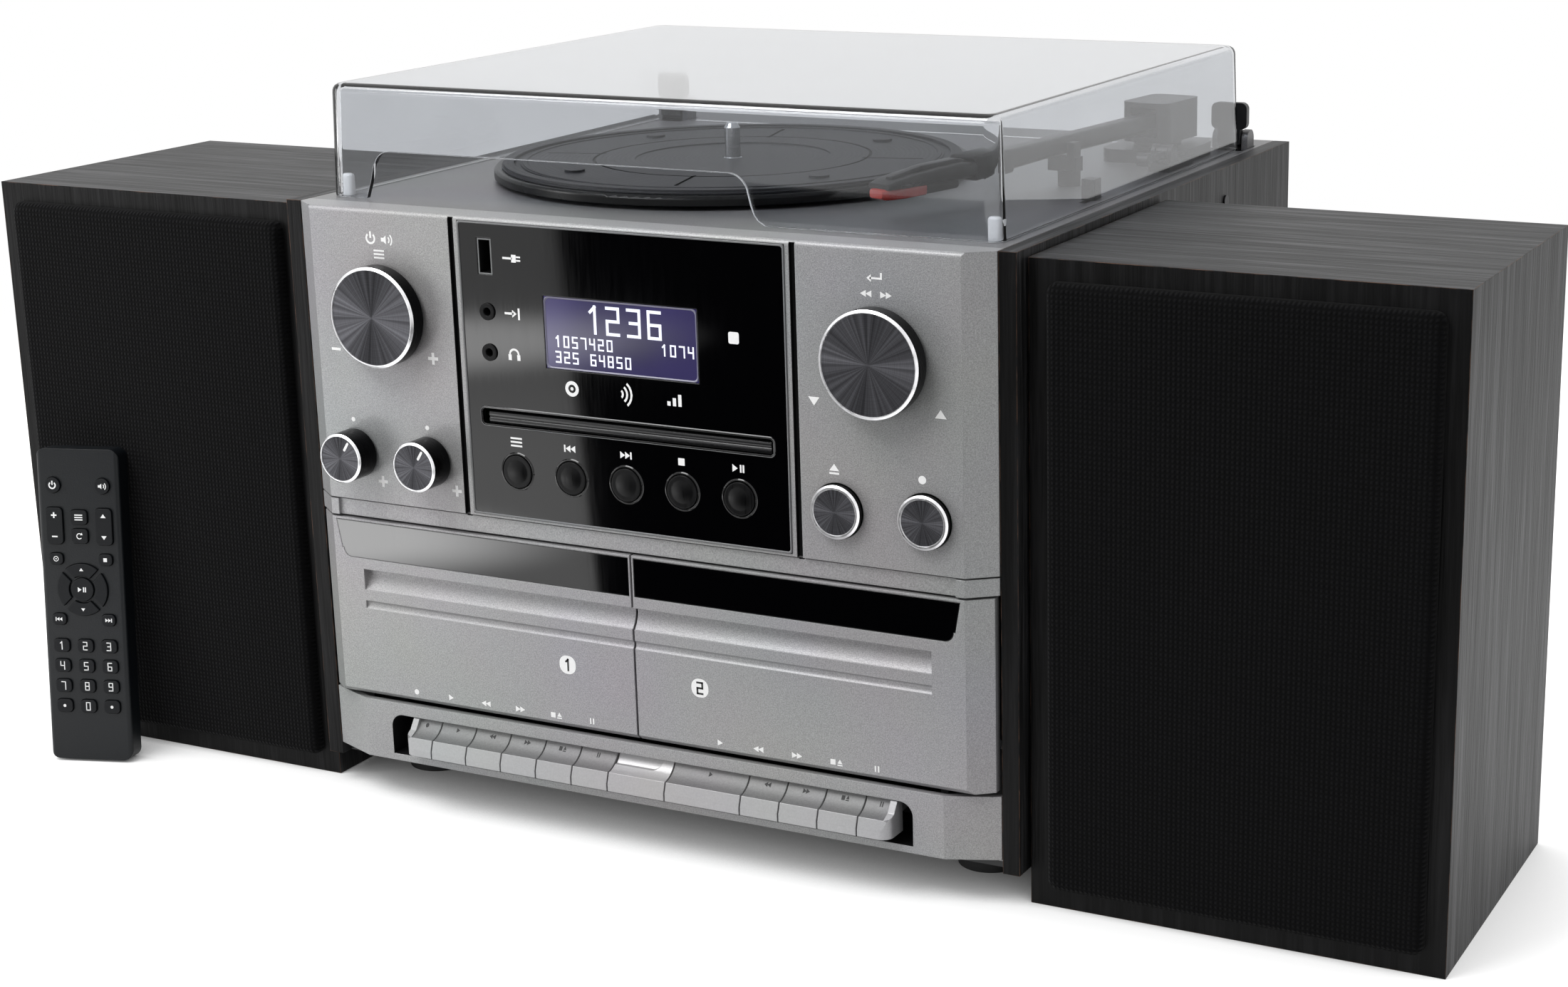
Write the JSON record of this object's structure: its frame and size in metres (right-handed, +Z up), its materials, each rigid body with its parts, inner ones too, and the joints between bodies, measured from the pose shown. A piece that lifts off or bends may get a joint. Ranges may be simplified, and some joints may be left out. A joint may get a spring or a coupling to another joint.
{
  "type": "stereo music centre",
  "caption": "Music centre with a record deck under a clear hinged cover, disc slot, cassette decks, knobs, sprung keys, free-standing loudspeakers and a remote control.",
  "frame": {"origin": "centre of the whole set seen from above, on the surface it stands on", "axes": "+X to the right seen from the front, across all three cabinets; -Y towards the listener; +Z up"},
  "size_m": [0.6916, 0.3564, 0.3169],
  "materials": {
    "ash_veneer": "black open-grain veneer, satin",
    "sheet_steel": "bare zinc-coated sheet",
    "rear_paint": "black powder coat",
    "grey_moulding": "fine spark-eroded satin, dark grey",
    "key_moulding": "satin, mid grey",
    "gloss_black": "polished black",
    "display_glass": "backlit behind a dark filter",
    "connector_metal": "nickel shells and black moulding",
    "circuit_board": "solder-masked boards and parts",
    "mechanism_steel": "plated steel and moulded gears",
    "drive_metal": "turned steel, rubber belt",
    "black_satin": "fine satin black",
    "clear_cover": "clear smoke-tinted acrylic, polished",
    "platter_black": "satin black moulding",
    "mat_rubber": "matt black rubber",
    "pulley_brass": "turned brass",
    "cartridge_red": "moulded red stylus carrier",
    "screw_steel": "nickel-plated screws",
    "foot_rubber": "moulded rubber feet",
    "knob_aluminium": "spun and anodised black with a bright bevel",
    "shaft_steel": "turned steel",
    "button_black": "smooth black",
    "spun_button": "spun face with a bright ring",
    "grille_cloth": "black woven grille cloth",
    "remote_moulding": "satin blue-black",
    "remote_keys": "soft-touch keys"
  },
  "bodies": {
    "cabinet": {"cabinet_sides": "ash_veneer", "chassis": "sheet_steel", "rear_cover": "rear_paint", "deck_plate": "grey_moulding", "fascia": "grey_moulding", "key_bezel": "grey_moulding", "front_panel": "gloss_black", "display_module": "display_glass", "connectors": "connector_metal", "electronics": "circuit_board", "cd_loader": "mechanism_steel", "cassette_mechanisms": "mechanism_steel", "turntable_drive": "drive_metal", "tonearm_base": "black_satin", "feet": "foot_rubber", "screws": "screw_steel"},
    "cover": {"dust_cover": "clear_cover", "hinge_arms": "black_satin"},
    "platter_body": {"platter": "platter_black", "platter_mat": "mat_rubber"},
    "pulley_body": {"motor_pulley": "pulley_brass"},
    "arm_yoke": {"tonearm_yoke": "black_satin"},
    "arm": {"tonearm": "black_satin", "cartridge": "cartridge_red"},
    "arm_lever": {"lift_lever": "black_satin"},
    "speed_slider": {"speed_switch": "black_satin"},
    "left_door": {"cassette_door_left": "grey_moulding", "door_window_left": "gloss_black"},
    "right_door": {"cassette_door_right": "grey_moulding", "door_window_right": "gloss_black"},
    "key_a_record_body": {"key_a_record": "key_moulding"},
    "key_a_play_body": {"key_a_play": "key_moulding"},
    "key_a_rewind_body": {"key_a_rewind": "key_moulding"},
    "key_a_forward_body": {"key_a_forward": "key_moulding"},
    "key_a_stop_body": {"key_a_stop": "key_moulding"},
    "key_a_pause_body": {"key_a_pause": "key_moulding"},
    "key_b_play_body": {"key_b_play": "key_moulding"},
    "key_b_rewind_body": {"key_b_rewind": "key_moulding"},
    "key_b_forward_body": {"key_b_forward": "key_moulding"},
    "key_b_stop_body": {"key_b_stop": "key_moulding"},
    "key_b_pause_body": {"key_b_pause": "key_moulding"},
    "front_button_1_body": {"front_button_1": "button_black"},
    "front_button_2_body": {"front_button_2": "button_black"},
    "front_button_3_body": {"front_button_3": "button_black"},
    "front_button_4_body": {"front_button_4": "button_black"},
    "front_button_5_body": {"front_button_5": "button_black"},
    "eject_button_body": {"eject_button": "spun_button"},
    "record_button_body": {"record_button": "spun_button"},
    "volume_shaft_body": {"volume_shaft": "shaft_steel"},
    "volume_knob_body": {"volume_knob": "knob_aluminium"},
    "select_shaft_body": {"select_shaft": "shaft_steel"},
    "select_knob_body": {"select_knob": "knob_aluminium"},
    "bass_knob_body": {"bass_knob": "knob_aluminium"},
    "treble_knob_body": {"treble_knob": "knob_aluminium"},
    "left_speaker": {"speaker_left_cabinet": "ash_veneer", "speaker_left_grille": "grille_cloth"},
    "right_speaker": {"speaker_right_cabinet": "ash_veneer", "speaker_right_grille": "grille_cloth"},
    "remote": {"remote_case": "remote_moulding", "remote_keypad": "remote_keys"}
  },
  "joints": [
    {"name": "cover_hinge", "type": "hinge", "parent": "cabinet", "child": "cover", "pos_m": [0, 0.14692, 0.272], "axis": [-1, 0, 0], "range_deg": [0, 65]},
    {"name": "platter_spin", "type": "hinge", "parent": "cabinet", "child": "platter_body", "pos_m": [-0.029, -0.00768, 0.268], "axis": [0, 0, 1], "continuous": true},
    {"name": "pulley_spin", "type": "hinge", "parent": "cabinet", "child": "pulley_body", "pos_m": [-0.081, -0.00768, 0.268], "axis": [0, 0, 1], "continuous": true},
    {"name": "arm_swing", "type": "hinge", "parent": "cabinet", "child": "arm_yoke", "pos_m": [0.131, 0.10292, 0.285], "axis": [0, 0, -1], "range_deg": [0, 32]},
    {"name": "arm_lift", "type": "hinge", "parent": "arm_yoke", "child": "arm", "pos_m": [0.131, 0.10292, 0.285], "axis": [-0.9932, 0.1167, 0], "range_deg": [0, 5]},
    {"name": "lever_turn", "type": "hinge", "parent": "cabinet", "child": "arm_lever", "pos_m": [0.149, 0.06492, 0.276], "axis": [-1, 0, 0], "range_deg": [0, 40]},
    {"name": "speed_slide", "type": "slide", "parent": "cabinet", "child": "speed_slider", "axis": [0, 1, 0], "range_m": [-0.006, 0.006]},
    {"name": "left_door_hinge", "type": "hinge", "parent": "cabinet", "child": "left_door", "pos_m": [0, -0.14708, 0.0508], "axis": [1, 0, 0], "range_deg": [0, 24]},
    {"name": "right_door_hinge", "type": "hinge", "parent": "cabinet", "child": "right_door", "pos_m": [0, -0.14708, 0.0508], "axis": [1, 0, 0], "range_deg": [0, 24]},
    {"name": "key_a_record_press", "type": "hinge", "parent": "cabinet", "child": "key_a_record_body", "pos_m": [0, -0.11908, 0.036], "axis": [1, 0, 0], "range_deg": [0, 3.2], "stiffness_Nm_per_rad": 0.3, "springref_deg": -5.73},
    {"name": "key_a_play_press", "type": "hinge", "parent": "cabinet", "child": "key_a_play_body", "pos_m": [0, -0.11908, 0.036], "axis": [1, 0, 0], "range_deg": [0, 3.2], "stiffness_Nm_per_rad": 0.3, "springref_deg": -5.73},
    {"name": "key_a_rewind_press", "type": "hinge", "parent": "cabinet", "child": "key_a_rewind_body", "pos_m": [0, -0.11908, 0.036], "axis": [1, 0, 0], "range_deg": [0, 3.2], "stiffness_Nm_per_rad": 0.3, "springref_deg": -5.73},
    {"name": "key_a_forward_press", "type": "hinge", "parent": "cabinet", "child": "key_a_forward_body", "pos_m": [0, -0.11908, 0.036], "axis": [1, 0, 0], "range_deg": [0, 3.2], "stiffness_Nm_per_rad": 0.3, "springref_deg": -5.73},
    {"name": "key_a_stop_press", "type": "hinge", "parent": "cabinet", "child": "key_a_stop_body", "pos_m": [0, -0.11908, 0.036], "axis": [1, 0, 0], "range_deg": [0, 3.2], "stiffness_Nm_per_rad": 0.3, "springref_deg": -5.73},
    {"name": "key_a_pause_press", "type": "hinge", "parent": "cabinet", "child": "key_a_pause_body", "pos_m": [0, -0.11908, 0.036], "axis": [1, 0, 0], "range_deg": [0, 3.2], "stiffness_Nm_per_rad": 0.3, "springref_deg": -5.73},
    {"name": "key_b_play_press", "type": "hinge", "parent": "cabinet", "child": "key_b_play_body", "pos_m": [0, -0.11908, 0.036], "axis": [1, 0, 0], "range_deg": [0, 3.2], "stiffness_Nm_per_rad": 0.3, "springref_deg": -5.73},
    {"name": "key_b_rewind_press", "type": "hinge", "parent": "cabinet", "child": "key_b_rewind_body", "pos_m": [0, -0.11908, 0.036], "axis": [1, 0, 0], "range_deg": [0, 3.2], "stiffness_Nm_per_rad": 0.3, "springref_deg": -5.73},
    {"name": "key_b_forward_press", "type": "hinge", "parent": "cabinet", "child": "key_b_forward_body", "pos_m": [0, -0.11908, 0.036], "axis": [1, 0, 0], "range_deg": [0, 3.2], "stiffness_Nm_per_rad": 0.3, "springref_deg": -5.73},
    {"name": "key_b_stop_press", "type": "hinge", "parent": "cabinet", "child": "key_b_stop_body", "pos_m": [0, -0.11908, 0.036], "axis": [1, 0, 0], "range_deg": [0, 3.2], "stiffness_Nm_per_rad": 0.3, "springref_deg": -5.73},
    {"name": "key_b_pause_press", "type": "hinge", "parent": "cabinet", "child": "key_b_pause_body", "pos_m": [0, -0.11908, 0.036], "axis": [1, 0, 0], "range_deg": [0, 3.2], "stiffness_Nm_per_rad": 0.3, "springref_deg": -5.73},
    {"name": "front_button_1_press", "type": "slide", "parent": "cabinet", "child": "front_button_1_body", "axis": [0, 1, 0], "range_m": [0, 0.0012], "stiffness_N_per_m": 300, "springref_m": -0.002},
    {"name": "front_button_2_press", "type": "slide", "parent": "cabinet", "child": "front_button_2_body", "axis": [0, 1, 0], "range_m": [0, 0.0012], "stiffness_N_per_m": 300, "springref_m": -0.002},
    {"name": "front_button_3_press", "type": "slide", "parent": "cabinet", "child": "front_button_3_body", "axis": [0, 1, 0], "range_m": [0, 0.0012], "stiffness_N_per_m": 300, "springref_m": -0.002},
    {"name": "front_button_4_press", "type": "slide", "parent": "cabinet", "child": "front_button_4_body", "axis": [0, 1, 0], "range_m": [0, 0.0012], "stiffness_N_per_m": 300, "springref_m": -0.002},
    {"name": "front_button_5_press", "type": "slide", "parent": "cabinet", "child": "front_button_5_body", "axis": [0, 1, 0], "range_m": [0, 0.0012], "stiffness_N_per_m": 300, "springref_m": -0.002},
    {"name": "eject_button_press", "type": "slide", "parent": "cabinet", "child": "eject_button_body", "axis": [0, 1, 0], "range_m": [0, 0.0012], "stiffness_N_per_m": 300, "springref_m": -0.002},
    {"name": "record_button_press", "type": "slide", "parent": "cabinet", "child": "record_button_body", "axis": [0, 1, 0], "range_m": [0, 0.0012], "stiffness_N_per_m": 300, "springref_m": -0.002},
    {"name": "volume_push", "type": "slide", "parent": "cabinet", "child": "volume_shaft_body", "axis": [0, 1, 0], "range_m": [0, 0.0012], "stiffness_N_per_m": 800, "springref_m": -0.002},
    {"name": "volume_turn", "type": "hinge", "parent": "volume_shaft_body", "child": "volume_knob_body", "pos_m": [-0.118, -0.15308, 0.2233], "axis": [0, 1, 0], "continuous": true},
    {"name": "select_push", "type": "slide", "parent": "cabinet", "child": "select_shaft_body", "axis": [0, 1, 0], "range_m": [0, 0.0012], "stiffness_N_per_m": 800, "springref_m": -0.002},
    {"name": "select_turn", "type": "hinge", "parent": "select_shaft_body", "child": "select_knob_body", "pos_m": [0.118, -0.15308, 0.2233], "axis": [0, 1, 0], "continuous": true},
    {"name": "bass_turn", "type": "hinge", "parent": "cabinet", "child": "bass_knob_body", "pos_m": [-0.1374, -0.15308, 0.1608], "axis": [0, 1, 0], "range_deg": [-150, 150]},
    {"name": "treble_turn", "type": "hinge", "parent": "cabinet", "child": "treble_knob_body", "pos_m": [-0.0986, -0.15308, 0.1608], "axis": [0, 1, 0], "range_deg": [-150, 150]},
    {"name": "left_speaker_place", "type": "slide", "parent": "cabinet", "child": "left_speaker", "axis": [-1, 0, 0], "range_m": [0, 0.3]},
    {"name": "right_speaker_place", "type": "slide", "parent": "cabinet", "child": "right_speaker", "axis": [1, 0, 0], "range_m": [0, 0.3]},
    {"name": "remote_place", "type": "slide", "parent": "cabinet", "child": "remote", "axis": [0, -1, 0], "range_m": [0, 0.08]}
  ],
  "couplings": [
    {"joint": "pulley_spin", "follows": "platter_spin", "ratio": 8},
    {"joint": "lever_turn", "follows": "arm_lift", "ratio": 8}
  ]
}
